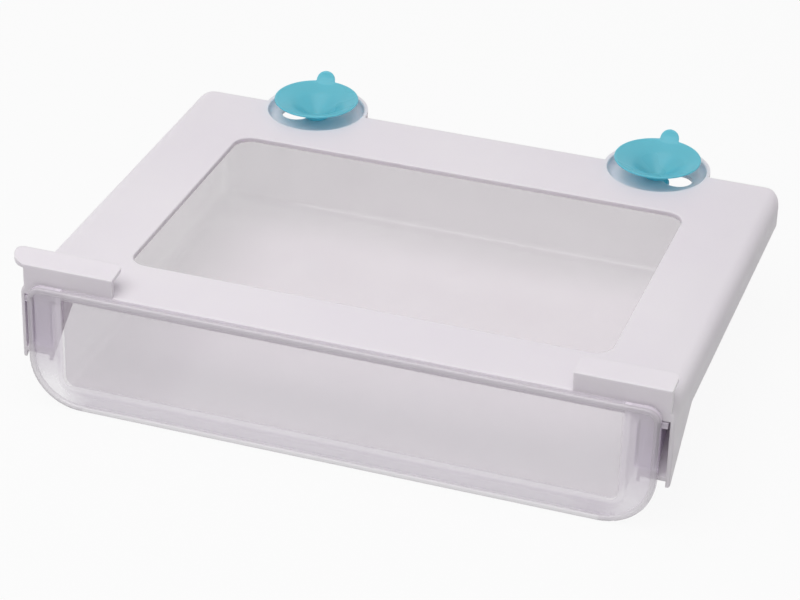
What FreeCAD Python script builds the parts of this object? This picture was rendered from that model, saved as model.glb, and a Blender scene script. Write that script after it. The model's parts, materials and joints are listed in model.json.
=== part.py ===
"""Under-shelf fridge drawer: a white frame that hooks over a glass shelf, a clear drawer
that slides in it, and two soft suction cups that steady its back edge.

Millimetres. +Z is up and the drawer opens towards -Y. The origin is where the lower front
edge of the shelf sits: on the plate's top face (z = 0), against the clip walls (y = 0), in
the middle of the frame's width (x = 0).
"""
import FreeCAD, Part

import math
import os

import Sketcher

SIZES = [
    # frame
    ("frame_width", 310.0, "outside width of the frame"),
    ("frame_reach", 215.4, "from the clip walls back to the rear edge"),
    ("plate_thickness", 2.5, "top plate"),
    ("frame_wall", 2.0, "skirt, gusset, lip and clip walls"),
    ("skirt_depth", 15.0, "side and rear skirts below the plate's top"),
    ("shoulder_radius", 7.0, "rounding between plate and side skirt"),
    ("rear_corner_radius", 10.0, "rear corners seen from above"),
    ("front_edge_radius", 1.2, "front edges of the plate and the side walls"),
    ("front_lip_depth", 6.6, "front edge below the plate's top"),
    ("edge_rounding", 0.7, "small moulded edges"),
    ("window_side_margin", 39.0, "frame's sides to the opening in the plate"),
    ("window_front", 31.7, "clip walls to the opening"),
    ("window_rear_margin", 42.3, "opening to the rear edge"),
    ("window_corner_radius", 9.0, "corners of the opening"),
    ("gusset_depth", 40.2, "front tips of the side walls below the plate's top"),
    ("gusset_length", 33.5, "from the front face to where the skirt is level"),
    ("ledge_width", 13.0, "ledge that carries the drawer"),
    ("ledge_thickness", 2.0, "ledge"),
    ("hem_depth", 2.7, "downward hem along the ledge's inner edge"),
    ("hem_thickness", 1.5, "hem"),
    # shelf clips
    ("clip_inset", 2.0, "outer end of a clip in from the frame's side"),
    ("clip_length", 44.2, "clip along the shelf's edge"),
    ("clip_gap", 7.0, "slot for the shelf's edge"),
    ("clip_thickness", 2.0, "upper arm of a clip"),
    ("clip_reach", 11.0, "upper arm back from the clip wall"),
    ("clip_rise", 1.6, "upward lead-in of the upper arm over its reach"),
    ("clip_corner_radius", 3.0, "back corners of the upper arm"),
    ("flare_length", 8.2, "the left arm runs on past its wall"),
    ("flare_radius", 11.0, "curve of that flare, from the wall's corner outwards"),
    # suction cup seats
    ("dish_inset", 64.3, "dish centre in from the frame's side"),
    ("dish_overhang", 0.3, "dish centre behind the rear edge"),
    ("dish_clearance", 3.05, "rim of a cup to the inside of its dish"),
    ("dish_wall", 2.0, "wall round a dish"),
    ("dish_straight", 0.6, "straight part of a recess's wall between its roundings"),
    ("dish_floor", 2.0, "thickness of the dish floor"),
    ("dish_lift", 0.1, "underside of the dishes above the front lip's edge"),
    ("entry_clearance", 0.7, "round the button in the keyhole's round end"),
    ("keyhole_travel", 11.0, "round end to narrow end"),
    # drawer
    ("panel_inset", 5.4, "panel's sides in from the frame's"),
    ("panel_top", 0.3, "panel's top above the plate"),
    ("panel_drop", 8.5, "panel below the tray's underside"),
    ("panel_sheet", 2.0, "flat of the front panel"),
    ("panel_gap", 1.2, "panel to the frame's front face when shut"),
    ("panel_top_radius", 6.5, "upper corners of the panel"),
    ("panel_bottom_radius", 25.0, "lower corners of the panel"),
    ("rim_width", 2.8, "raised rim round the panel"),
    ("rim_proud", 2.0, "rim in front of the flat"),
    ("rim_rounding", 1.1, "long edges of the rim"),
    ("tray_clearance", 5.0, "tray's side to the ledge"),
    ("tray_depth", 45.9, "tray's rim to its underside"),
    ("tray_wall", 2.0, "tray walls and floor"),
    ("tray_edge_radius", 7.0, "lower outside edges of the tray's sides"),
    ("tray_corner_radius", 6.0, "edges round the tray's back"),
    ("flange_thickness", 2.6, "side flanges that run on the ledges"),
    ("flange_back", 2.0, "flange behind the tray"),
    ("flange_corner_radius", 6.0, "rear corners of the flange"),
    ("side_clearance", 0.8, "flange to side wall"),
    ("rear_clearance", 7.0, "flange to rear skirt"),
    ("lip_clearance", 0.5, "flange below the frame's front lip"),
    ("run_clearance", 0.3, "flange above the ledge"),
    ("guide_clearance", 0.5, "guide rail below the plate"),
    ("guide_width", 3.0, "guide rail"),
    ("guide_inset", 6.0, "guide rail in from the flange's side"),
    ("guide_end", 3.4, "guide rail in from the flange's back"),
    ("drawer_hold", 46.4, "flange still in the frame with the drawer fully out"),
    ("stop_clearance", 0.3, "guide rail to front lip, drawer fully out"),
    ("shoe_width", 10.1, "wedge shoe behind the panel"),
    ("shoe_inset", 3.3, "shoe in from the flange's side"),
    ("shoe_wall", 1.5, "shoe"),
    ("shoe_clearance", 3.9, "shoe above the sloping ledge"),
    # suction cups
    ("cup_radius", 21.65, "rim of a cup"),
    ("cup_rise", 6.2, "rim above the plate's top"),
    ("cup_lip", 1.2, "height of the rim's outer band"),
    ("cup_lip_width", 0.7, "flat on top of the rim"),
    ("cup_hollow", 7.4, "depth of the hollow"),
    ("cup_flat_radius", 6.0, "flat at the bottom of the hollow"),
    ("cup_blend_radius", 14.0, "flat to cone inside the hollow"),
    ("collar_radius", 6.4, "collar that sits on the dish floor"),
    ("cup_floor", 1.1, "bottom of the hollow to the top of the collar"),
    ("neck_radius", 4.0, "neck in the keyhole"),
    ("neck_clearance", 0.3, "round the neck, and over and under the dish floor"),
    ("button_radius", 6.8, "button under the dish floor"),
    ("button_height", 2.8, "button"),
    ("tab_width", 9.3, "pull tab"),
    ("tab_rise", 5.3, "tip of the tab above the rim"),
    ("tab_lean", 2.7, "tip of the tab out past the rim"),
    ("tab_thickness", 1.4, "pull tab"),
    ("tab_root", 1.6, "tab's foot in from the rim"),
    ("tab_end_radius", 4.5, "round end of the tab"),
    ("left_cup_turn", 7.0, "degrees that the left cup's tab points left of straight back"),
    ("right_cup_turn", -2.0, "the same for the right cup"),
]

doc = FreeCAD.newDocument("fridge_drawer")
sheet = doc.addObject("Spreadsheet::Sheet", "Sizes")
for row, (alias, number, meaning) in enumerate(SIZES, start=1):
    sheet.set(f"A{row}", alias)
    sheet.set(f"B{row}", str(number))
    sheet.set(f"C{row}", meaning)
    sheet.setAlias(f"B{row}", alias)
doc.recompute()


class Size:
    """A size, with the spreadsheet formula that gives it."""

    def __init__(self, value, formula):
        self.value = float(value)
        self.formula = formula

    def _join(self, sign, other, value):
        other_formula = other.formula if isinstance(other, Size) else str(float(other))
        return Size(value, f"({self.formula} {sign} {other_formula})")

    def __add__(self, other):
        return self._join("+", other, self.value + float(other))

    def __sub__(self, other):
        return self._join("-", other, self.value - float(other))

    def __mul__(self, other):
        return self._join("*", other, self.value * float(other))

    def __truediv__(self, other):
        return self._join("/", other, self.value / float(other))

    def __neg__(self):
        return Size(-self.value, f"(0 - {self.formula})")

    def __float__(self):
        return self.value


def cell(alias):
    return Size(sheet.get(alias), f"Sizes.{alias}")


def leg(longest, other):
    """The third side of a right-angled triangle."""
    value = math.sqrt(longest.value ** 2 - other.value ** 2)
    return Size(value, f"sqrt({longest.formula} ^ 2 - {other.formula} ^ 2)")


ZERO = Size(0.0, "0")
SIDES = (("left", -1), ("right", 1))

# The sense of each origin plane's normal along its own world axis.
PLANE_NORMAL = {"XY_Plane": 1, "XZ_Plane": -1, "YZ_Plane": 1}


# ---------------------------------------------------------------- sketches

class Drawing:
    """A sketch on one of a body's origin planes, moved to a level along that plane's axis.
    Each point is dimensioned from the origin, and each dimension is bound to the sheet."""

    def __init__(self, body, name, plane, level=ZERO):
        self.normal = PLANE_NORMAL[plane]
        self.sketch = body.newObject("Sketcher::SketchObject", name)
        origin_plane = [f for f in body.Origin.OriginFeatures if f.Role == plane][0]
        self.sketch.AttachmentSupport = [(origin_plane, "")]
        self.sketch.MapMode = "FlatFace"
        self.sketch.setExpression("AttachmentOffset.Base.z", (level * self.normal).formula)

    def _dimension(self, size, kind, *terms):
        index = self.sketch.addConstraint(Sketcher.Constraint(kind, *terms, size.value))
        self.sketch.setExpression(f"Constraints[{index}]", size.formula)

    def _place(self, geometry, end, across, up):
        self._dimension(across, "DistanceX", -1, 1, geometry, end)
        self._dimension(up, "DistanceY", -1, 1, geometry, end)

    def _join(self, geometry, end, other, other_end):
        self.sketch.addConstraint(
            Sketcher.Constraint("Coincident", geometry, end, other, other_end)
        )

    def _line(self, start, end):
        spots = [FreeCAD.Vector(float(across), float(up), 0) for across, up in (start, end)]
        return self.sketch.addGeometry(Part.LineSegment(*spots))

    def path(self, points):
        """A closed outline of straight lines."""
        following = points[1:] + points[:1]
        lines = [self._line(start, end) for start, end in zip(points, following)]
        for line, after in zip(lines, lines[1:] + lines[:1]):
            self._join(line, 2, after, 1)
        for line, point in zip(lines, points):
            self._place(line, 1, *point)

    def box(self, left, right, low, high):
        self.path([(left, low), (right, low), (right, high), (left, high)])

    def circle(self, across, up, radius):
        centre = FreeCAD.Vector(float(across), float(up), 0)
        ring = self.sketch.addGeometry(
            Part.Circle(centre, FreeCAD.Vector(0, 0, 1), float(radius))
        )
        self._place(ring, 3, across, up)
        self._dimension(radius, "Radius", ring)

    def corner_waste(self, across, up, radius, right, top):
        """What lies between a square corner and its quarter circle. The corner points to
        +x where right is 1 and to -x where it is -1, and likewise up or down for top."""
        centre_x, centre_y = across - radius * right, up - radius * top
        roof = self._line((centre_x, up), (across, up))
        side = self._line((across, up), (across, centre_y))
        circle = Part.Circle(
            FreeCAD.Vector(float(centre_x), float(centre_y), 0),
            FreeCAD.Vector(0, 0, 1),
            float(radius),
        )
        start = {(1, 1): 0, (-1, 1): 90, (-1, -1): 180, (1, -1): 270}[right, top]
        arc = self.sketch.addGeometry(
            Part.ArcOfCircle(circle, math.radians(start), math.radians(start + 90))
        )
        side_end, roof_end = (1, 2) if right == top else (2, 1)
        self._join(roof, 2, side, 1)
        self._join(side, 2, arc, side_end)
        self._join(arc, roof_end, roof, 1)
        self._place(roof, 1, centre_x, up)
        self._place(side, 1, across, up)
        self._place(side, 2, across, centre_y)
        self._dimension(radius, "Radius", arc)


# ---------------------------------------------------------------- features

def extrude(body, kind, name, drawing, length, towards):
    """A Pad or Pocket that runs to the positive (1) or negative (-1) side of its level."""
    before = body.Shape.Volume if body.Tip else 0.0
    feature = body.newObject(f"PartDesign::{kind}", name)
    feature.Profile = drawing.sketch
    gain = 1 if kind == "Pad" else -1
    feature.Reversed = towards * drawing.normal != gain
    feature.setExpression("Length", length.formula)
    doc.recompute()
    if (body.Shape.Volume - before) * gain < 1e-3:
        raise RuntimeError(f"{body.Label}: {name} has no effect")


def pad(body, name, drawing, length, towards):
    extrude(body, "Pad", name, drawing, length, towards)


def pocket(body, name, drawing, length, towards):
    extrude(body, "Pocket", name, drawing, length, towards)


def fillet(body, name, radius, chosen):
    """Round the edges that chosen(edge) picks on the body as it stands."""
    base = body.Tip
    names = [f"Edge{i}" for i, edge in enumerate(base.Shape.Edges, start=1) if chosen(edge)]
    if not names:
        raise RuntimeError(f"{body.Label}: {name} finds no edge")
    feature = body.newObject("PartDesign::Fillet", name)
    feature.Base = (base, names)
    feature.setExpression("Radius", radius.formula)
    doc.recompute()


def edge_at(axis, **places):
    """A test for straight edges along an axis ("X", "Y" or "Z") whose middle is at the
    given places. The place side_x is a distance to either side of the middle plane."""

    def test(edge):
        if edge.Degenerated or not isinstance(edge.Curve, Part.Line):
            return False
        if abs(getattr(edge.Curve.Direction, axis.lower())) < 0.9999:
            return False
        middle = edge.CenterOfMass
        found = {"x": middle.x, "y": middle.y, "z": middle.z, "side_x": abs(middle.x)}
        return all(abs(found[key] - float(place)) < 0.01 for key, place in places.items())

    return test


def arc_at(radius, level):
    """A test for arcs of one radius that lie level at a height."""

    def test(edge):
        if edge.Degenerated or not isinstance(edge.Curve, Part.Circle):
            return False
        low, high = edge.BoundBox.ZMin, edge.BoundBox.ZMax
        spread = max(abs(low - float(level)), abs(high - float(level)))
        return spread < 0.01 and abs(edge.Curve.Radius - float(radius)) < 0.01

    return test


def new_body(label):
    body = doc.addObject("PartDesign::Body", label)
    body.Label = label
    return body


# ---------------------------------------------------------------- places that parts share

half_width = cell("frame_width") / 2
front_face = -cell("frame_wall")
rear_edge = cell("frame_reach")
inner_wall = half_width - cell("frame_wall")
inner_rear = rear_edge - cell("frame_wall")
skirt_low = -cell("skirt_depth")
plate_low = -cell("plate_thickness")
flange_top = -(cell("front_lip_depth") + cell("lip_clearance"))
flange_low = flange_top - cell("flange_thickness")
flange_side = inner_wall - cell("side_clearance")
ledge_top = flange_low - cell("run_clearance")
ledge_low = ledge_top - cell("ledge_thickness")
ledge_side = inner_wall - cell("ledge_width")
gusset_end = front_face + cell("gusset_length")
gusset_drop = cell("gusset_depth") - cell("skirt_depth")
gusset_slope = gusset_drop / cell("gusset_length")
dish_x = half_width - cell("dish_inset")
dish_y = rear_edge + cell("dish_overhang")
dish_radius = cell("cup_radius") + cell("dish_clearance")
dish_low = cell("dish_lift") - cell("front_lip_depth")
dish_top = dish_low + cell("dish_floor")


# ---------------------------------------------------------------- frame

def build_frame():
    body = new_body("frame")
    build_housing(body)
    round_housing(body)
    build_gussets(body)
    build_dishes(body)
    cut_window(body)
    for name, side in SIDES:
        build_clip(body, name, side)


def build_housing(body):
    """The plate and its skirts, round a bay for the drawer that is open below and, under
    the front lip, to the front."""
    outline = Drawing(body, "housing_outline", "XY_Plane")
    outline.box(-half_width, half_width, front_face, rear_edge)
    pad(body, "housing", outline, cell("skirt_depth"), -1)

    bay = Drawing(body, "bay_outline", "XY_Plane", skirt_low)
    bay.box(-inner_wall, inner_wall, ZERO, inner_rear)
    pocket(body, "bay", bay, cell("skirt_depth") + plate_low, 1)
    fillet(body, "bay_corners", cell("rear_corner_radius") - cell("frame_wall"),
           edge_at("Z", side_x=inner_wall, y=inner_rear))
    fillet(body, "bay_ceiling", cell("shoulder_radius") - cell("plate_thickness"),
           edge_at("Y", side_x=inner_wall, z=plate_low))

    mouth = Drawing(body, "mouth_outline", "XZ_Plane", front_face)
    mouth.box(-inner_wall, inner_wall, skirt_low, -cell("front_lip_depth"))
    pocket(body, "mouth", mouth, cell("frame_wall"), 1)


def round_housing(body):
    """Soft shoulders along the sides, rounded rear corners, and gaps in the rear skirt for
    fingers to reach the cups' buttons."""
    shoulders = Drawing(body, "shoulder_waste", "XZ_Plane", front_face)
    corners = Drawing(body, "rear_corner_waste", "XY_Plane")
    gaps = Drawing(body, "skirt_gap_outline", "XY_Plane", skirt_low)
    for _, side in SIDES:
        edge = half_width * side
        shoulders.corner_waste(edge, ZERO, cell("shoulder_radius"), side, 1)
        corners.corner_waste(edge, rear_edge, cell("rear_corner_radius"), side, 1)
        gaps.circle(dish_x * side, dish_y, dish_radius + cell("dish_wall"))
    pocket(body, "shoulders", shoulders, rear_edge - front_face, 1)
    pocket(body, "rear_corners", corners, cell("skirt_depth"), -1)
    pocket(body, "skirt_gaps", gaps, cell("skirt_depth") + plate_low, 1)


def along_gusset(top, low, back):
    """Outline in the YZ plane of a strip that is level along the skirt and drops with the
    gusset towards the front."""
    return [
        (front_face, top - gusset_drop),
        (gusset_end, top),
        (back, top),
        (back, low),
        (gusset_end, low),
        (front_face, low - gusset_drop),
    ]


def build_gussets(body):
    """Side walls that deepen towards the front, the ledges that the drawer runs on, and
    one rounding along the plate's front edge and down both walls."""
    rail_back = rear_edge - cell("rear_corner_radius")
    tip = (front_face, -cell("gusset_depth"))
    for name, side in SIDES:
        gusset = Drawing(body, f"{name}_gusset_outline", "YZ_Plane", inner_wall * side)
        gusset.path([(front_face, skirt_low), tip, (gusset_end, skirt_low)])
        pad(body, f"{name}_gusset", gusset, cell("frame_wall"), side)

        ledge = Drawing(body, f"{name}_ledge_outline", "YZ_Plane", inner_wall * side)
        ledge.path(along_gusset(ledge_top, ledge_low, rail_back))
        pad(body, f"{name}_ledge", ledge, cell("ledge_width"), -side)

        hem = Drawing(body, f"{name}_hem_outline", "YZ_Plane", ledge_side * side)
        hem.path(along_gusset(ledge_low, ledge_low - cell("hem_depth"), rail_back))
        pad(body, f"{name}_hem", hem, cell("hem_thickness"), side)

    fillet(body, "front_edges", cell("front_edge_radius"),
           edge_at("X", y=front_face, z=ZERO))


def build_dishes(body):
    """Two recesses with keyholes in their floors: a cup's button goes in at the round end
    and its neck slides to the narrow end, in the middle of the dish."""
    shell = Drawing(body, "dish_outline", "XY_Plane")
    recess = Drawing(body, "recess_outline", "XY_Plane")
    seat = Drawing(body, "seat_outline", "XY_Plane", dish_top)
    slot = Drawing(body, "slot_outline", "XY_Plane", dish_top)
    entry = Drawing(body, "entry_outline", "XY_Plane", dish_top)
    seat_radius = cell("neck_radius") + cell("neck_clearance")
    floor_blend = -dish_top - cell("edge_rounding") - cell("dish_straight")
    for _, side in SIDES:
        centre_x = dish_x * side
        entry_x = (dish_x + cell("keyhole_travel")) * side
        shell.circle(centre_x, dish_y, dish_radius + cell("dish_wall"))
        recess.circle(centre_x, dish_y, dish_radius)
        seat.circle(centre_x, dish_y, seat_radius)
        slot.box(centre_x, entry_x, dish_y - seat_radius, dish_y + seat_radius)
        entry.circle(entry_x, dish_y, cell("button_radius") + cell("entry_clearance"))
    pad(body, "dishes", shell, -dish_low, -1)
    pocket(body, "recesses", recess, -dish_top, -1)
    fillet(body, "dish_blends", floor_blend, arc_at(dish_radius, dish_top))
    pocket(body, "seats", seat, cell("dish_floor"), -1)
    pocket(body, "slots", slot, cell("dish_floor"), -1)
    pocket(body, "entries", entry, cell("dish_floor"), -1)
    fillet(body, "recess_edges", cell("edge_rounding"), arc_at(dish_radius, ZERO))


def cut_window(body):
    side = half_width - cell("window_side_margin")
    rear = rear_edge - cell("window_rear_margin")
    window = Drawing(body, "window_outline", "XY_Plane")
    window.box(-side, side, cell("window_front"), rear)
    pocket(body, "window", window, cell("plate_thickness"), -1)
    fillet(body, "window_corners", cell("window_corner_radius"), edge_at("Z", side_x=side))
    fillet(body, "window_edge", cell("edge_rounding"), edge_at("Y", side_x=side, z=ZERO))


def build_clip(body, name, side):
    """A hook over the shelf's front edge. The left one's upper arm flares out past its
    wall, round the shelf's corner."""
    outer = (half_width - cell("clip_inset")) * side
    slot_top = cell("clip_gap")
    arm_top = slot_top + cell("clip_thickness")
    reach = cell("clip_reach")
    arm = [
        (front_face, arm_top),
        (reach, arm_top + cell("clip_rise")),
        (reach, slot_top + cell("clip_rise")),
        (ZERO, slot_top),
    ]

    hook = Drawing(body, f"{name}_clip_outline", "YZ_Plane", outer)
    hook.path(arm + [(ZERO, plate_low), (front_face, plate_low)])
    pad(body, f"{name}_clip", hook, cell("clip_length"), -side)

    if name == "left":
        flare = cell("flare_length")
        flare_end = outer + flare * side
        wing = Drawing(body, "flare_outline", "YZ_Plane", outer)
        wing.path(arm + [(front_face, slot_top)])
        pad(body, "flare", wing, flare, side)
        radius = cell("flare_radius")
        corner = Drawing(body, "flare_waste", "XY_Plane", slot_top)
        corner.corner_waste(flare_end, front_face + leg(radius, radius - flare) - radius,
                            radius, side, -1)
        pocket(body, "flare_curve", corner, reach, 1)

    for place, radius, line in (
        ("corners", cell("clip_corner_radius"), edge_at("Z", y=reach)),
        ("edge", cell("edge_rounding"), edge_at("X", y=front_face, z=arm_top)),
    ):
        fillet(body, f"{name}_clip_{place}", radius,
               lambda edge, line=line: line(edge) and edge.CenterOfMass.x * side > 0)


# ---------------------------------------------------------------- drawer

panel_back = front_face - cell("panel_gap")
tray_low = flange_top - cell("tray_depth")
tray_side = ledge_side - cell("tray_clearance")
flange_rear = inner_rear - cell("rear_clearance")
tray_back = flange_rear - cell("flange_back")


def build_drawer():
    body = new_body("drawer")
    build_panel(body)
    build_tray(body)
    build_shoes(body)
    build_guides(body)


def build_panel(body):
    """The front panel: a flat sheet inside a raised rim."""
    half_panel = half_width - cell("panel_inset")
    top = cell("panel_top")
    low = tray_low - cell("panel_drop")
    rim_front = panel_back - cell("panel_sheet") - cell("rim_proud")

    panel = Drawing(body, "panel_outline", "XZ_Plane", panel_back)
    panel.box(-half_panel, half_panel, low, top)
    pad(body, "panel", panel, panel_back - rim_front, -1)

    rim = cell("rim_width")
    flat_side = half_panel - rim
    flat = Drawing(body, "flat_outline", "XZ_Plane", rim_front)
    flat.box(-flat_side, flat_side, low + rim, top - rim)
    pocket(body, "flat", flat, cell("rim_proud"), 1)

    for place, height, inset, radius in (
        ("top", top, -rim, cell("panel_top_radius")),
        ("bottom", low, rim, cell("panel_bottom_radius")),
    ):
        fillet(body, f"flat_{place}_corners", radius - rim,
               edge_at("Y", side_x=flat_side, z=height + inset))
        fillet(body, f"panel_{place}_corners", radius,
               edge_at("Y", side_x=half_panel, z=height))
    for name, height in (("rim_outside", top), ("rim_inside", top - rim)):
        fillet(body, name, cell("rim_rounding"), edge_at("X", y=rim_front, z=height))


def build_tray(body):
    """The tray behind the panel, whose sheet is its front wall, and the flange round it."""
    tray = Drawing(body, "tray_outline", "XZ_Plane", panel_back)
    tray.box(-tray_side, tray_side, tray_low, flange_top)
    pad(body, "tray", tray, tray_back - panel_back, 1)

    flange = Drawing(body, "flange_outline", "XY_Plane", flange_top)
    flange.box(-flange_side, flange_side, panel_back, flange_rear)
    pad(body, "flange", flange, cell("flange_thickness"), -1)
    fillet(body, "flange_corners", cell("flange_corner_radius"),
           edge_at("Z", side_x=flange_side, y=flange_rear))

    wall = cell("tray_wall")
    inner_side = tray_side - wall
    inner_back = tray_back - wall
    inner_low = tray_low + wall
    cavity = Drawing(body, "cavity_outline", "XZ_Plane", panel_back)
    cavity.box(-inner_side, inner_side, inner_low, flange_top)
    pocket(body, "cavity", cavity, inner_back - panel_back, 1)

    for name, inset, side, back, low in (
        ("cavity", wall, inner_side, inner_back, inner_low),
        ("tray", ZERO, tray_side, tray_back, tray_low),
    ):
        fillet(body, f"{name}_edges", cell("tray_edge_radius") - inset,
               edge_at("Y", side_x=side, z=low))
        fillet(body, f"{name}_back_edges", cell("tray_corner_radius") - inset,
               edge_at("X", y=back, z=low))


def shoe_wedge(above_ledge, top):
    """Triangle in the YZ plane between a level top, the panel's back and a slope that keeps
    one height above the ledge."""
    low = ledge_top + above_ledge - (gusset_end - panel_back) * gusset_slope
    rear = gusset_end - (ledge_top + above_ledge - top) / gusset_slope
    return [(panel_back, top), (panel_back, low), (rear, top)]


def build_shoes(body):
    """Hollow wedges behind the panel that fill the drop of the sloping ledges."""
    outer = flange_side - cell("shoe_inset")
    wall = cell("shoe_wall")
    upright_wall = Size(
        wall.value * math.hypot(1, gusset_slope.value),
        f"({wall.formula} * sqrt(1 + {gusset_slope.formula} ^ 2))",
    )
    for name, side in SIDES:
        shoe = Drawing(body, f"{name}_shoe_outline", "YZ_Plane", outer * side)
        shoe.path(shoe_wedge(cell("shoe_clearance"), flange_low))
        pad(body, f"{name}_shoe", shoe, cell("shoe_width"), -side)

        hollow = Drawing(body, f"{name}_hollow_outline", "YZ_Plane", (outer - wall) * side)
        hollow.path(shoe_wedge(cell("shoe_clearance") + upright_wall, flange_top))
        pocket(body, f"{name}_hollow", hollow, cell("shoe_width") - wall * 2, -side)


def build_guides(body):
    """Rails on the flange: they keep the drawer level under the plate, and their front ends
    stop against the frame's front lip."""
    outer = flange_side - cell("guide_inset")
    inner = outer - cell("guide_width")
    front = flange_rear - cell("drawer_hold") + cell("stop_clearance")
    back = flange_rear - cell("guide_end")
    rails = Drawing(body, "guide_outline", "XY_Plane", flange_top)
    for _, side in SIDES:
        rails.box(inner * side, outer * side, front, back)
    pad(body, "guides", rails, plate_low - cell("guide_clearance") - flange_top, 1)


# ---------------------------------------------------------------- suction cups

def build_cup(name, side, turn):
    """A soft cup with its hollow face up, a collar and a button that hold the dish floor
    between them, and a pull tab on its rim. Built about its own axis, then placed."""
    body = new_body(f"suction_cup_{name}")
    rim = cell("cup_radius")
    rim_top = cell("cup_rise")
    rim_low = rim_top - cell("cup_lip")
    hollow_low = rim_top - cell("cup_hollow")
    collar_low = dish_top + cell("neck_clearance")
    button_top = dish_low - cell("neck_clearance")
    button_low = button_top - cell("button_height")

    profile = Drawing(body, "profile", "XZ_Plane")
    profile.path([
        (ZERO, hollow_low),
        (cell("cup_flat_radius"), hollow_low),
        (rim - cell("cup_lip_width"), rim_top),
        (rim, rim_top),
        (rim, rim_low),
        (cell("collar_radius"), hollow_low - cell("cup_floor")),
        (cell("collar_radius"), collar_low),
        (cell("neck_radius"), collar_low),
        (cell("neck_radius"), button_top),
        (cell("button_radius"), button_top),
        (cell("button_radius"), button_low),
        (ZERO, button_low),
    ])
    turned = body.newObject("PartDesign::Revolution", "turned")
    turned.Profile = profile.sketch
    turned.ReferenceAxis = (profile.sketch, ["V_Axis"])
    turned.Angle = 360
    doc.recompute()

    foot = rim - cell("tab_root")
    tip = rim + cell("tab_lean")
    tip_top = rim_top + cell("tab_rise")
    thickness = cell("tab_thickness")
    half_tab = cell("tab_width") / 2
    tab = Drawing(body, "tab_outline", "YZ_Plane", -half_tab)
    tab.path([
        (foot, rim_low),
        (foot + thickness, rim_low),
        (tip, tip_top),
        (tip - thickness, tip_top),
    ])
    pad(body, "tab", tab, cell("tab_width"), 1)
    tab_end = Drawing(body, "tab_end_waste", "XZ_Plane", foot)
    for _, way in SIDES:
        tab_end.corner_waste(half_tab * way, tip_top, cell("tab_end_radius"), way, 1)
    pocket(body, "tab_end", tab_end, tip - foot, 1)
    fillet(body, "hollow_blend", cell("cup_blend_radius"),
           arc_at(cell("cup_flat_radius"), hollow_low))

    body.setExpression("Placement.Base.x", (dish_x * side).formula)
    body.setExpression("Placement.Base.y", dish_y.formula)
    body.setExpression("Placement.Rotation.Angle", turn.formula)


# ---------------------------------------------------------------- build, check and write

build_frame()
build_drawer()
build_cup("left", -1, cell("left_cup_turn"))
build_cup("right", 1, cell("right_cup_turn"))
doc.recompute()

for thing in doc.Objects:
    if "Invalid" in thing.State or "Error" in thing.State:
        raise RuntimeError(f"{thing.Label} failed: {thing.State}")

bodies = [thing for thing in doc.Objects if thing.isDerivedFrom("PartDesign::Body")]
for body in bodies:
    if body.Shape.isNull() or not body.Shape.isValid() or len(body.Shape.Solids) != 1:
        raise RuntimeError(f"{body.Label} is not one valid solid")

os.makedirs("parts", exist_ok=True)
for body in bodies:
    body.Shape.exportStep(os.path.join("parts", f"{body.Label}.step"))
    box = body.Shape.BoundBox
    print(
        f"{body.Label}: {body.Shape.Volume:.0f} mm3,",
        f"x {box.XMin:.1f} to {box.XMax:.1f},",
        f"y {box.YMin:.1f} to {box.YMax:.1f},",
        f"z {box.ZMin:.1f} to {box.ZMax:.1f}",
    )
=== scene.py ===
import json
import math

import bmesh
import bpy
from mathutils import Matrix, Vector


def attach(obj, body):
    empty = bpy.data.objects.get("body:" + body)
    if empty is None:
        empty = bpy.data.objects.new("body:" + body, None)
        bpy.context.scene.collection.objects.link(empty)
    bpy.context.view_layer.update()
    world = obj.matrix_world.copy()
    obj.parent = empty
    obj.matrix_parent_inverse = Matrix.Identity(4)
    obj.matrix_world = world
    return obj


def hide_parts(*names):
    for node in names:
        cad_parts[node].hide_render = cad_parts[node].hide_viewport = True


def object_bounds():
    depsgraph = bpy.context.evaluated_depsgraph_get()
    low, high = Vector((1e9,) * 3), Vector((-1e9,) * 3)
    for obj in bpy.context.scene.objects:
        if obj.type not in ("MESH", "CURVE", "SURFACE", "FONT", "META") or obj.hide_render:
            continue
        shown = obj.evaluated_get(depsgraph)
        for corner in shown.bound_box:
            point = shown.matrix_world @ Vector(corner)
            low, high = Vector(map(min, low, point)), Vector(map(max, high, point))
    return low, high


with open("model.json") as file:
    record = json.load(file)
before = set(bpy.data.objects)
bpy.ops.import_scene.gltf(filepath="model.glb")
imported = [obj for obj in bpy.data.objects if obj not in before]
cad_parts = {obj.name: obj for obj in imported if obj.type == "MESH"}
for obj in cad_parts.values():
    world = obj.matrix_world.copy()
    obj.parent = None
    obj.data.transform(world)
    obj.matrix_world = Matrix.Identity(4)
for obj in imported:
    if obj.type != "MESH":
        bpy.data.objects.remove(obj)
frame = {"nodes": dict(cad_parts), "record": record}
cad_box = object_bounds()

MM = 0.001
WHITE = (1.0, 1.0, 1.0, 1.0)

# ---------------------------------------------------------------- camera

CAMERA_PLACE = (0.35658, -1.00377, 0.63674)
CAMERA_TURN = (59.988, -1.397, 18.919)  # degrees about x, y and z
SENSOR_WIDTH = 36.0                     # mm
CAMERA_LENS = 125.53                    # mm
NEAREST_SEEN = 0.05
FARTHEST_SEEN = 20.0

scene = bpy.context.scene
scene.view_settings.view_transform = "Standard"

camera = bpy.data.objects.new("camera", bpy.data.cameras.new("camera"))
camera.data.sensor_width = SENSOR_WIDTH
camera.data.lens = CAMERA_LENS
camera.data.clip_start = NEAREST_SEEN
camera.data.clip_end = FARTHEST_SEEN
camera.location = CAMERA_PLACE
camera.rotation_euler = [math.radians(angle) for angle in CAMERA_TURN]
scene.collection.objects.link(camera)
scene.camera = camera


# ---------------------------------------------------------------- shader helpers

NOISE_LOW = 0.3   # most of a noise's values lie between these two
NOISE_HIGH = 0.7


def new_tree(owner):
    owner.use_nodes = True
    owner.node_tree.nodes.clear()
    return owner.node_tree


def feed(tree, socket, value):
    """Gives a socket a plain value, or links it to another node's socket."""
    if isinstance(value, bpy.types.NodeSocket):
        tree.links.new(value, socket)
    else:
        socket.default_value = value


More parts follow.
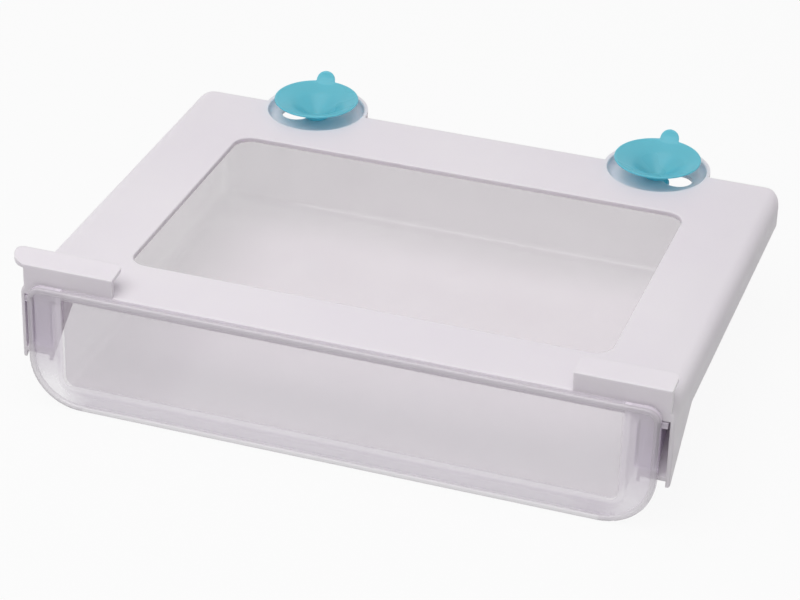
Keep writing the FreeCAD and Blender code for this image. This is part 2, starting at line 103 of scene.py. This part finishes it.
def add(tree, kind, inputs=None, **settings):
    """A shader node. Each input is a number, a colour or another node's socket."""
    node = tree.nodes.new("ShaderNode" + kind)
    for key, value in settings.items():
        setattr(node, key, value)
    for key, value in (inputs or {}).items():
        feed(tree, node.inputs[key], value)
    return node


def calc(tree, operation, *values):
    """The operation on one value, or on the first two, then on that and the third, and so on."""
    if len(values) == 1:
        return add(tree, "Math", {0: values[0]}, operation=operation).outputs[0]
    result = values[0]
    for value in values[1:]:
        result = add(tree, "Math", {0: result, 1: value}, operation=operation).outputs[0]
    return result


def noise(tree, coords, scale, detail):
    node = add(tree, "TexNoise", {"Vector": coords, "Scale": scale, "Detail": detail})
    return node.outputs["Fac"]


def span(tree, value, low, high, new_low, new_high):
    """Value carried from low..high to new_low..new_high, and held at their ends."""
    node = add(tree, "MapRange", {"Value": value, "From Min": low, "From Max": high,
                                  "To Min": new_low, "To Max": new_high})
    return node.outputs["Result"]


def cloud(tree, coords, scale, detail, low=0.0, high=1.0):
    """A noise that varies between low and high."""
    return span(tree, noise(tree, coords, scale, detail), NOISE_LOW, NOISE_HIGH, low, high)


def blend(tree, share, first, second):
    """The first colour where share is 0, and the second where it is 1."""
    node = add(tree, "Mix", {0: share, 6: first, 7: second}, data_type="RGBA")
    return node.outputs[2]


def mix(tree, share, first, second):
    """The first number where share is 0, and the second where it is 1."""
    node = add(tree, "Mix", {0: share, 2: first, 3: second}, data_type="FLOAT")
    return node.outputs[0]


def colour(red, green, blue):
    """The linear colour of sRGB numbers from 0 to 255."""
    return [((c / 255 + 0.055) / 1.055) ** 2.4 if c > 10 else c / 255 / 12.92
            for c in (red, green, blue)] + [1.0]


def output(tree, shader):
    add(tree, "OutputMaterial", {"Surface": shader})


def object_coords(tree):
    return add(tree, "TexCoord").outputs["Object"]


def axes(tree, coords):
    parts = add(tree, "SeparateXYZ", {"Vector": coords})
    return [parts.outputs[axis] for axis in "XYZ"]


def backdrop_rays(tree):
    """1 for the rays that see the backdrop itself: camera, glossy and transmission rays."""
    path = add(tree, "LightPath")
    return calc(tree, "MAXIMUM", path.outputs["Is Camera Ray"], path.outputs["Is Glossy Ray"],
                path.outputs["Is Transmission Ray"])


# ---------------------------------------------------------------- stage and light

AMBIENT = 0.41
FLOOR_LEVEL = cad_box[0].z
FLOOR_REACH = 4.0
FLOOR_GREY = (0.65, 0.65, 0.65, 1.0)
FLOOR_WHITENESS = 0.92  # share of plain white in the floor, for the rays that see it
LAMP_PLACE = (-0.2, -0.3, 1.25)
LAMP_TARGET = (0.0, 0.1, 0.0)
LAMP_SIZE = 1.5
LAMP_POWER = 13.6


def build_world():
    world = bpy.data.worlds.new("studio")
    scene.world = world
    tree = new_tree(world)
    strength = span(tree, backdrop_rays(tree), 0.0, 1.0, AMBIENT, 1.0)
    sky = add(tree, "Background", {"Color": WHITE, "Strength": strength})
    add(tree, "OutputWorld", {"Surface": sky.outputs[0]})


def floor_paint():
    """A matt floor that keeps shadows, nearly white to the rays that see it."""
    material = bpy.data.materials.new("floor_paint")
    tree = new_tree(material)
    matte = add(tree, "BsdfDiffuse", {"Color": FLOOR_GREY})
    white = add(tree, "Emission", {"Color": WHITE, "Strength": 1.0})
    share = calc(tree, "MULTIPLY", backdrop_rays(tree), FLOOR_WHITENESS)
    mixed = add(tree, "MixShader", {0: share, 1: matte.outputs[0], 2: white.outputs[0]})
    output(tree, mixed.outputs[0])
    return material


def build_floor():
    mesh = bpy.data.meshes.new("floor")
    corners = [(-1, -1), (1, -1), (1, 1), (-1, 1)]
    mesh.from_pydata([(x * FLOOR_REACH, y * FLOOR_REACH, FLOOR_LEVEL) for x, y in corners],
                     [], [range(len(corners))])
    mesh.materials.append(floor_paint())
    floor = bpy.data.objects.new("floor", mesh)
    scene.collection.objects.link(floor)


def build_lamp():
    data = bpy.data.lights.new("overhead", "AREA")
    data.shape = "SQUARE"
    data.size = LAMP_SIZE
    data.energy = LAMP_POWER
    lamp = bpy.data.objects.new("overhead", data)
    lamp.location = LAMP_PLACE
    aim = Vector(LAMP_TARGET) - Vector(LAMP_PLACE)
    lamp.rotation_euler = aim.to_track_quat("-Z", "Y").to_euler()
    scene.collection.objects.link(lamp)


build_world()
build_floor()
build_lamp()


# ---------------------------------------------------------------- bumps

GRAIN_SCALE = 1800.0
GRAIN_DEPTH = 0.0002
FINE_GRAIN_SCALE = 2600.0
FINE_GRAIN_SHARE = 0.12
WAVE_SCALE = 28.0
WAVE_DEPTH = 0.0006


def grain_bump(tree, coords, strength):
    """The faint grain that a polished mould leaves."""
    bump = add(tree, "Bump", {"Height": noise(tree, coords, GRAIN_SCALE, detail=2.0),
                              "Strength": strength, "Distance": GRAIN_DEPTH})
    return bump.outputs["Normal"]


def wavy_bump(tree, coords, strength):
    """A finer grain over the slow waviness of a wide moulded face."""
    grain = calc(tree, "MULTIPLY", noise(tree, coords, FINE_GRAIN_SCALE, detail=3.0),
                 FINE_GRAIN_SHARE)
    height = calc(tree, "ADD", grain, noise(tree, coords, WAVE_SCALE, detail=1.0))
    bump = add(tree, "Bump", {"Height": height, "Strength": strength,
                              "Distance": WAVE_DEPTH})
    return bump.outputs["Normal"]


# ---------------------------------------------------------------- white plastic

def white_plastic():
    """Satin white plastic with a violet cast, through which a little light spreads."""
    material = bpy.data.materials.new("white_plastic")
    tree = new_tree(material)
    coords = object_coords(tree)
    patches = cloud(tree, coords, scale=9.0, detail=3.0)
    tint = blend(tree, patches, colour(228, 222, 229), colour(233, 228, 233))
    shader = add(tree, "BsdfPrincipled", {
        "Base Color": tint,
        "Roughness": cloud(tree, coords, scale=160.0, detail=4.0, low=0.34, high=0.44),
        "IOR": 1.5,
        "Specular IOR Level": 0.45,
        "Subsurface Weight": 0.45,
        "Subsurface Radius": (1.0, 0.96, 1.04),
        "Subsurface Scale": 0.003,
        "Normal": wavy_bump(tree, coords, strength=0.06),
    })
    output(tree, shader.outputs[0])
    return material


# ---------------------------------------------------------------- clear plastic

# Places on the drawer, in metres. Y grows backwards from the front panel.
PANEL_BACK = -0.0033   # the panel's back face
RIM_FLAT = -0.0053     # the rim stands forward of this
TRAY_FRONT = -0.0028   # the tray's walls start here
TRAY_SIDE = 0.135      # half the tray's width
TRAY_LOW = 0.053       # the tray's underside, down from the plate's top
TRAY_CORNER = 0.007    # rounding of the tray's lower corners
SHOE_INNER = 0.1388    # a shoe's walls, from the middle outwards
SHOE_OUTER = 0.1489
SHOE_TOP = -0.0097
SHOE_LOW = -0.0322
SHOE_WALL = 0.0015
NEAR = 0.0001          # keeps a mask's edge clear of the surface it belongs to

# Opacity of one surface. Light crosses two surfaces at each wall.
SHEET_ALPHA = 0.19
RIM_ALPHA = 0.58
TRAY_ALPHA = 0.3
STREAK_ALPHA = 0.006

# What is added to the sheet's opacity at the shoes, and on the panel round the tray.
SHOE_ALPHA = -0.08
SHOE_WALL_ALPHA = 0.42
EDGE_ALPHA = 0.16
# Painted shade: a more opaque band along the panel's bottom darkens it there.
STRIP_SHADE_ALPHA = 0.32
# Painted light: the panel outside the tray grows more opaque higher up, so the sheet's pale tint
# lightens the shade of the gussets and shoes behind it.
MARGIN_LIGHT_ALPHA = (0.0, 0.36)        # low and high on the panel
# Painted light on the right side: extra opacity there lightens the dark channel seen behind the
# panel.
RIGHT_MARGIN_LIGHT_ALPHA = (0.2, 0.04)  # more of it on the right, low and high

# Where those fade in or out, in metres. The first three are counted outside the tray.
EDGE_START = (-0.0026, -0.0016)
EDGE_END = (0.0002, 0.0016)
MARGIN_START = (-0.0024, -0.0014)
MARGIN_HEIGHTS = (-0.05, -0.034)
RIGHT_START = (0.11, 0.128)
STRIP_TOP = (-0.0498, -0.0482)
STRIP_ENDS = (0.122, 0.135)
MILK_END = (0.0003, 0.0009)       # counted outside the tray too


def outside_tray(tree, x, z):
    """Metres outside the tray's rounded section, seen from the front."""
    side = calc(tree, "ABSOLUTE", x)
    depth = calc(tree, "MULTIPLY", z, -1.0)
    across = calc(tree, "MAXIMUM", calc(tree, "SUBTRACT", side, TRAY_SIDE - TRAY_CORNER), 0.0)
    down = calc(tree, "MAXIMUM", calc(tree, "SUBTRACT", depth, TRAY_LOW - TRAY_CORNER), 0.0)
    squares = calc(tree, "ADD", calc(tree, "MULTIPLY", across, across),
                   calc(tree, "MULTIPLY", down, down))
    return calc(tree, "SUBTRACT", calc(tree, "SQRT", squares), TRAY_CORNER)


def shoes(tree, behind, x, z):
    """Masks of the shoes behind the panel, and of their walls."""
    side = calc(tree, "ABSOLUTE", x)
    shoe = calc(tree, "MULTIPLY", behind,
                calc(tree, "LESS_THAN", z, SHOE_TOP - 3 * NEAR),
                calc(tree, "GREATER_THAN", z, SHOE_LOW - NEAR),
                calc(tree, "GREATER_THAN", side, SHOE_INNER - 3 * NEAR))
    wall = calc(tree, "MAXIMUM",
                calc(tree, "LESS_THAN", side, SHOE_INNER + SHOE_WALL + NEAR),
                calc(tree, "GREATER_THAN", side, SHOE_OUTER - SHOE_WALL - NEAR),
                calc(tree, "LESS_THAN", z, SHOE_LOW + SHOE_WALL + NEAR))
    return shoe, calc(tree, "MULTIPLY", shoe, wall)


def sheet_alpha(tree, x, z, outside, shoe, shoe_wall):
    """Opacity of the flat panel, with what shows round the tray's section and the shoes."""
    side = calc(tree, "ABSOLUTE", x)
    edge = calc(tree, "MULTIPLY", span(tree, outside, *EDGE_START, 0.0, EDGE_ALPHA),
                span(tree, outside, *EDGE_END, 1.0, 0.0))
    # Painted light: outside the tray the panel is more opaque higher up and on the right, where
    # its pale tint lightens the shade behind it.
    right = calc(tree, "MULTIPLY", span(tree, x, *RIGHT_START, 0.0, 1.0),
                 span(tree, z, *MARGIN_HEIGHTS, *RIGHT_MARGIN_LIGHT_ALPHA))
    margin_painted_light = calc(tree, "MULTIPLY", span(tree, outside, *MARGIN_START, 0.0, 1.0),
                  calc(tree, "ADD", span(tree, z, *MARGIN_HEIGHTS, *MARGIN_LIGHT_ALPHA), right))
    # Painted shade: a more opaque band along the panel's bottom, in front of the tray's lower
    # edge, darkens it.
    painted_shade_strip = calc(tree, "MULTIPLY", span(tree, z, *STRIP_TOP, STRIP_SHADE_ALPHA, 0.0),
                 span(tree, side, *STRIP_ENDS, 1.0, 0.0))
    shoe_alpha = calc(tree, "ADD", calc(tree, "MULTIPLY", shoe, SHOE_ALPHA),
                      calc(tree, "MULTIPLY", shoe_wall, SHOE_WALL_ALPHA))
    return calc(tree, "ADD", edge, painted_shade_strip, margin_painted_light, SHEET_ALPHA, shoe_alpha)


def clear_plastic():
    """A milky tray, and a clear panel, rim, flanges and shoes with a violet cast."""
    material = bpy.data.materials.new("clear_plastic")
    tree = new_tree(material)
    coords = object_coords(tree)
    x, y, z = axes(tree, coords)
    outside = outside_tray(tree, x, z)

    behind = span(tree, y, PANEL_BACK - NEAR, PANEL_BACK + NEAR, 0.0, 1.0)
    inner = span(tree, y, TRAY_FRONT - 2 * NEAR, TRAY_FRONT, 0.0, 1.0)
    rim = span(tree, y, RIM_FLAT - 2 * NEAR, RIM_FLAT, 1.0, 0.0)
    within = span(tree, outside, *MILK_END, 1.0, 0.0)
    milky = calc(tree, "MULTIPLY", behind, within)
    shoe, shoe_wall = shoes(tree, behind, x, z)

    patches = cloud(tree, coords, scale=14.0, detail=2.0)
    tray_tint = blend(tree, patches, colour(224, 208, 220), colour(228, 213, 225))
    sheet_tint = blend(tree, patches, colour(240, 232, 243), colour(245, 237, 248))
    rim_tint = colour(217, 211, 218)
    shoe_tint = colour(241, 227, 250)
    front_tint = blend(tree, rim, sheet_tint, rim_tint)
    tint = blend(tree, calc(tree, "MULTIPLY", milky, inner), front_tint, tray_tint)
    tint = blend(tree, shoe, tint, shoe_tint)

    clear_alpha = mix(tree, rim, sheet_alpha(tree, x, z, outside, shoe, shoe_wall), RIM_ALPHA)
    tray_alpha = span(tree, inner, 0.0, 1.0, SHEET_ALPHA, TRAY_ALPHA)
    alpha = mix(tree, milky, clear_alpha, tray_alpha)
    streak = cloud(tree, coords, scale=40.0, detail=1.0,
                   low=STREAK_ALPHA, high=-STREAK_ALPHA)

    shader = add(tree, "BsdfPrincipled", {
        "Base Color": tint,
        "Roughness": cloud(tree, coords, scale=120.0, detail=3.0, low=0.12, high=0.2),
        "Alpha": calc(tree, "ADD", alpha, streak),
        "IOR": 1.53,
        "Specular IOR Level": 0.9,
        "Normal": grain_bump(tree, coords, strength=0.03),
    })
    output(tree, shader.outputs[0])
    return material


# ---------------------------------------------------------------- soft plastic

PVC_GLOW = 0.46  # share of light that passes through the skin


def soft_pvc():
    """Teal rubbery plastic with a satin gloss that lets some light through."""
    material = bpy.data.materials.new("soft_pvc")
    tree = new_tree(material)
    coords = object_coords(tree)
    patches = cloud(tree, coords, scale=30.0, detail=2.0)
    tint = blend(tree, patches, colour(123, 216, 228), colour(135, 222, 234))
    shader = add(tree, "BsdfPrincipled", {
        "Base Color": tint,
        "Roughness": cloud(tree, coords, scale=60.0, detail=1.0, low=0.26, high=0.34),
        "IOR": 1.52,
        "Normal": grain_bump(tree, coords, strength=0.02),
    })
    glow = add(tree, "BsdfTranslucent", {"Color": colour(146, 218, 231)})
    mixed = add(tree, "MixShader", {0: PVC_GLOW, 1: shader.outputs[0], 2: glow.outputs[0]})
    output(tree, mixed.outputs[0])
    return material


# ---------------------------------------------------------------- frame and drawer

def smooth(mesh):
    for polygon in mesh.polygons:
        polygon.use_smooth = True


for name, material in (("frame", white_plastic()), ("drawer", clear_plastic())):
    node = frame["nodes"][name]
    for slot in node.material_slots:
        slot.material = material
    smooth(node.data)


# ---------------------------------------------------------------- suction cups

# All cup sizes are in millimetres, and heights are counted from the plate's top.
CUP_TURNS = {"left": 7.0, "right": -2.0}  # degrees that the tab points away from the back
CUP_SEGMENTS = 128
CUP_HOLLOW = [                            # radius and height, from the middle outwards
    (0.0, -4.75), (1.2, -4.66), (2.2, -4.3), (3.4, -3.62), (5.0, -2.5), (7.0, -1.0),
    (9.0, 0.5), (10.6, 1.68), (11.8, 2.5), (13.2, 3.24), (15.5, 4.1), (18.0, 4.88),
    (19.8, 5.42), (20.6, 5.86), (21.0, 6.14),
]
CUP_UNDERSIDE = [                         # round the rim and back inwards
    (21.4, 6.12), (21.62, 5.9), (21.62, 5.3), (21.4, 5.02), (20.7, 4.72), (18.0, 3.35),
    (15.0, 1.9), (12.0, 0.45), (9.0, -0.95), (7.4, -1.75), (6.7, -2.15),
]
CUP_FOOT = [                              # collar, neck and button
    (6.36, -2.6), (6.36, -3.9), (6.1, -4.16), (4.2, -4.18), (3.96, -4.4), (3.96, -6.7),
    (4.2, -6.84), (6.4, -6.86), (6.76, -7.2), (6.76, -9.1), (6.3, -9.54), (0.0, -9.56),
]
TAB_LINE = [(18.6, 4.2), (20.4, 5.6), (21.9, 7.4), (22.9, 9.1), (23.6, 10.8)]
TAB_WIDTH = 9.9
TAB_THICKNESS = 1.3
TAB_ROWS = 24
TAB_SIDES = 24
TAB_TIP_HALF = 0.3        # least half width, at the very tip
TAB_TIP_SHARE = 0.55      # of the thickness, at the very tip
TAB_THINNING = 2.2        # the thickness grows by its own measure over this length
TAB_EDGE_POWER = 0.5      # powers under 1 make the tab's oval section squarer
TAB_FACE_POWER = 0.7
SKIN_VOXEL = 0.28
SKIN_SMOOTHING = 0.5      # share of the way to its neighbours that a point moves
SKIN_ROUNDS = 6


def lathe(mesh, profile, segments):
    """Adds to mesh the closed surface that profile sweeps about the z axis."""
    rings = []
    for radius, height in profile:
        if radius == 0.0:
            rings.append([mesh.verts.new((0.0, 0.0, height * MM))])
            continue
        rings.append([
            mesh.verts.new((radius * MM * math.cos(turn), radius * MM * math.sin(turn),
                            height * MM))
            for turn in (2 * math.pi * i / segments for i in range(segments))
        ])
    for low, high in zip(rings, rings[1:]):
        for i in range(segments):
            j = (i + 1) % segments
            corners = [low[i % len(low)], low[j % len(low)], high[j % len(high)],
                       high[i % len(high)]]
            mesh.faces.new(list(dict.fromkeys(corners)))


def signed_power(value, power):
    return math.copysign(abs(value) ** power, value)


def tab_row(mesh, centre, ahead, left):
    """One ring of the tab's section, at centre, with length left before the tip."""
    half = TAB_WIDTH / 2
    normal = Vector((0.0, ahead.z, -ahead.y))
    width = half
    if left <= half:
        width = math.sqrt(max(half ** 2 - (half - left) ** 2, TAB_TIP_HALF ** 2))
    thick = TAB_THICKNESS / 2 * min(1.0, TAB_TIP_SHARE + left / TAB_THINNING)
    row = []
    for n in range(TAB_SIDES):
        turn = 2 * math.pi * n / TAB_SIDES
        across = Vector((width * signed_power(math.cos(turn), TAB_EDGE_POWER), 0.0, 0.0))
        out = normal * (thick * signed_power(math.sin(turn), TAB_FACE_POWER))
        row.append(mesh.verts.new((centre + out + across) * MM))
    return row


def tab(mesh):
    """Adds the pull tab: a flat tongue with a round end that leans out past the rim."""
    line = [Vector((0.0, out, up)) for out, up in TAB_LINE]
    lengths = [0.0]
    for a, b in zip(line, line[1:]):
        lengths.append(lengths[-1] + (b - a).length)
    total = lengths[-1]
    rows = []
    for i in range(TAB_ROWS + 1):
        along = total * i / TAB_ROWS
        k = max(j for j in range(len(line) - 1) if j == 0 or lengths[j] <= along)
        share = (along - lengths[k]) / (lengths[k + 1] - lengths[k])
        ahead = (line[k + 1] - line[k]).normalized()
        rows.append(tab_row(mesh, line[k].lerp(line[k + 1], share), ahead, total - along))
    for low, high in zip(rows, rows[1:]):
        for n in range(TAB_SIDES):
            m = (n + 1) % TAB_SIDES
            mesh.faces.new((low[n], low[m], high[m], high[n]))
    mesh.faces.new(list(reversed(rows[0])))
    mesh.faces.new(rows[-1])


def one_skin(thing):
    """Melts the piece's closed forms into one soft skin."""
    remesh = thing.modifiers.new("remesh", "REMESH")
    remesh.mode = "VOXEL"
    remesh.voxel_size = SKIN_VOXEL * MM
    remesh.use_smooth_shade = True
    soften = thing.modifiers.new("soften", "SMOOTH")
    soften.factor = SKIN_SMOOTHING
    soften.iterations = SKIN_ROUNDS
    bpy.context.view_layer.update()
    depsgraph = bpy.context.evaluated_depsgraph_get()
    skin = bpy.data.meshes.new_from_object(thing.evaluated_get(depsgraph))
    thing.modifiers.clear()
    thing.data = skin


def cup_axis(side):
    """Where the cup's axis stands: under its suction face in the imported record."""
    mounts = {mount["name"]: mount for mount in frame["record"]["mounts"]}
    x, y, _ = mounts["suction_face_" + side]["pos_m"]
    return Vector((x, y, 0.0))


def cup(side, material):
    """A soft cup in place of its CAD solid, melted into one skin with its tab."""
    mesh = bmesh.new()
    lathe(mesh, CUP_HOLLOW + CUP_UNDERSIDE + CUP_FOOT, CUP_SEGMENTS)
    tab(mesh)
    bmesh.ops.recalc_face_normals(mesh, faces=mesh.faces)
    data = bpy.data.meshes.new("cup_" + side)
    mesh.to_mesh(data)
    mesh.free()
    thing = bpy.data.objects.new("cup_" + side, data)
    scene.collection.objects.link(thing)
    one_skin(thing)
    turn = Matrix.Rotation(math.radians(CUP_TURNS[side]), 4, "Z")
    thing.data.transform(Matrix.Translation(cup_axis(side)) @ turn)
    smooth(thing.data)
    thing.data.materials.clear()
    thing.data.materials.append(material)
    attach(thing, "cup_" + side)
    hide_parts("suction_cup_" + side)


pvc = soft_pvc()
for side in CUP_TURNS:
    cup(side, pvc)
